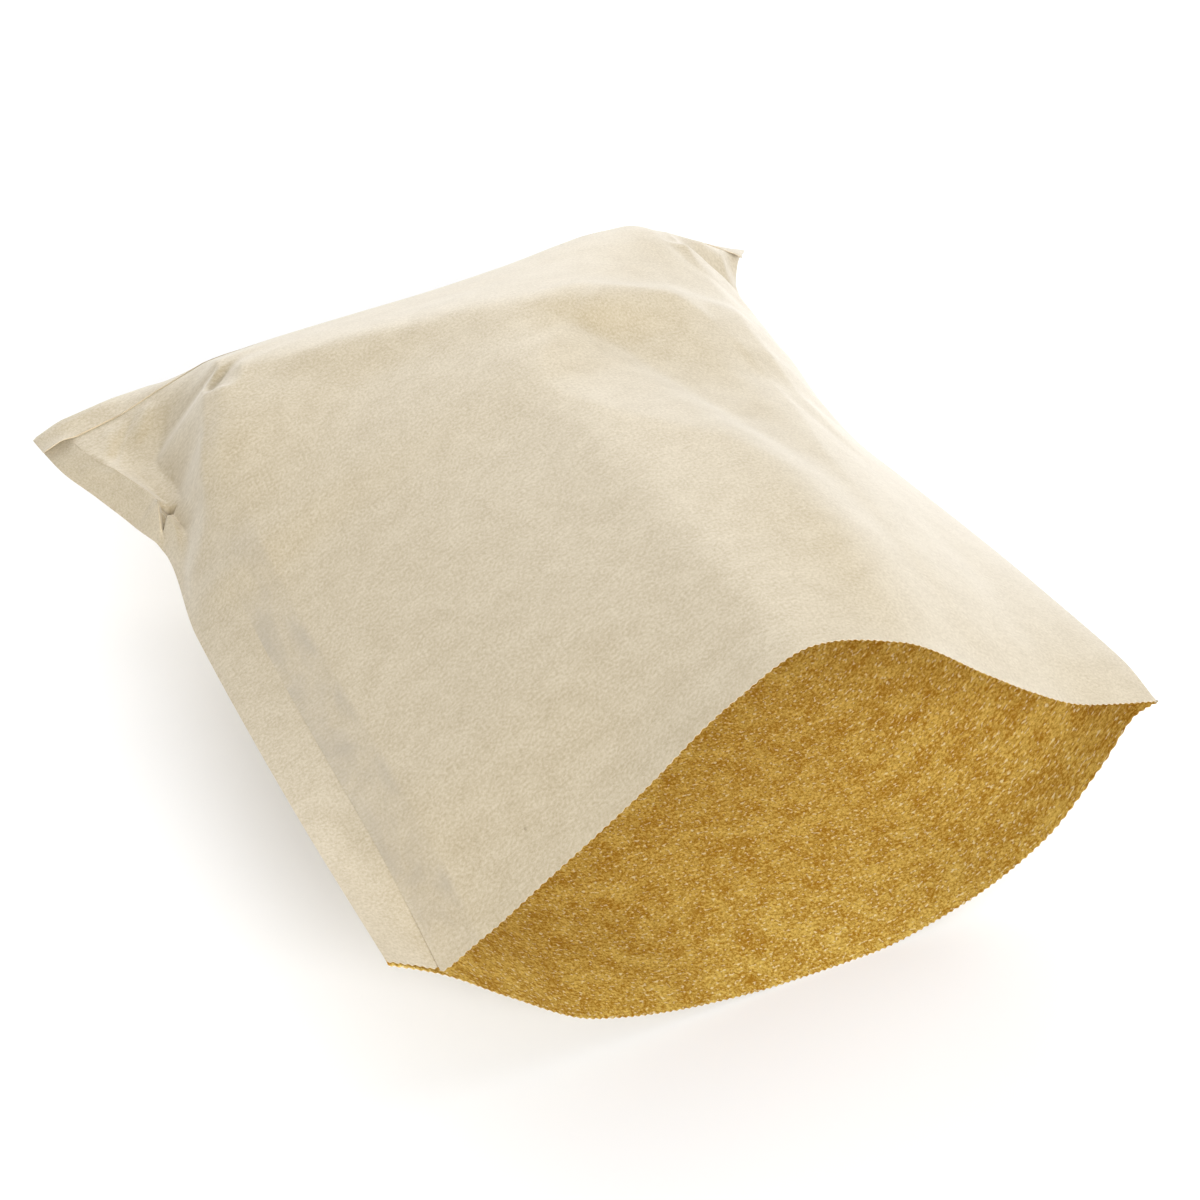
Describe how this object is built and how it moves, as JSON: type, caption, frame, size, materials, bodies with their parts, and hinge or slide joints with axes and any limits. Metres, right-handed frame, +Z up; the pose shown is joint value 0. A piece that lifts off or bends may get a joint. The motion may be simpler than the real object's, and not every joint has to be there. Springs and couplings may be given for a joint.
{
  "type": "flat kraft paper bag",
  "caption": "Flat pillow-shaped kraft paper bag with a glued, turned-up closing seam, lying on its side with its mouth puffed open.",
  "frame": {"origin": "on the floor, under the middle of the bag's bounding box", "axes": "+Z up; -Y towards the open mouth, +Y towards the glued closing seam; +X towards the right-hand side fold, seen from the mouth"},
  "size_m": [0.2366, 0.2482, 0.1141],
  "materials": {
    "kraft_paper": "matt unbleached kraft, paler on the outside and golden brown on the inside"
  },
  "bodies": {
    "root": {"bag": "kraft_paper"}
  },
  "joints": []
}
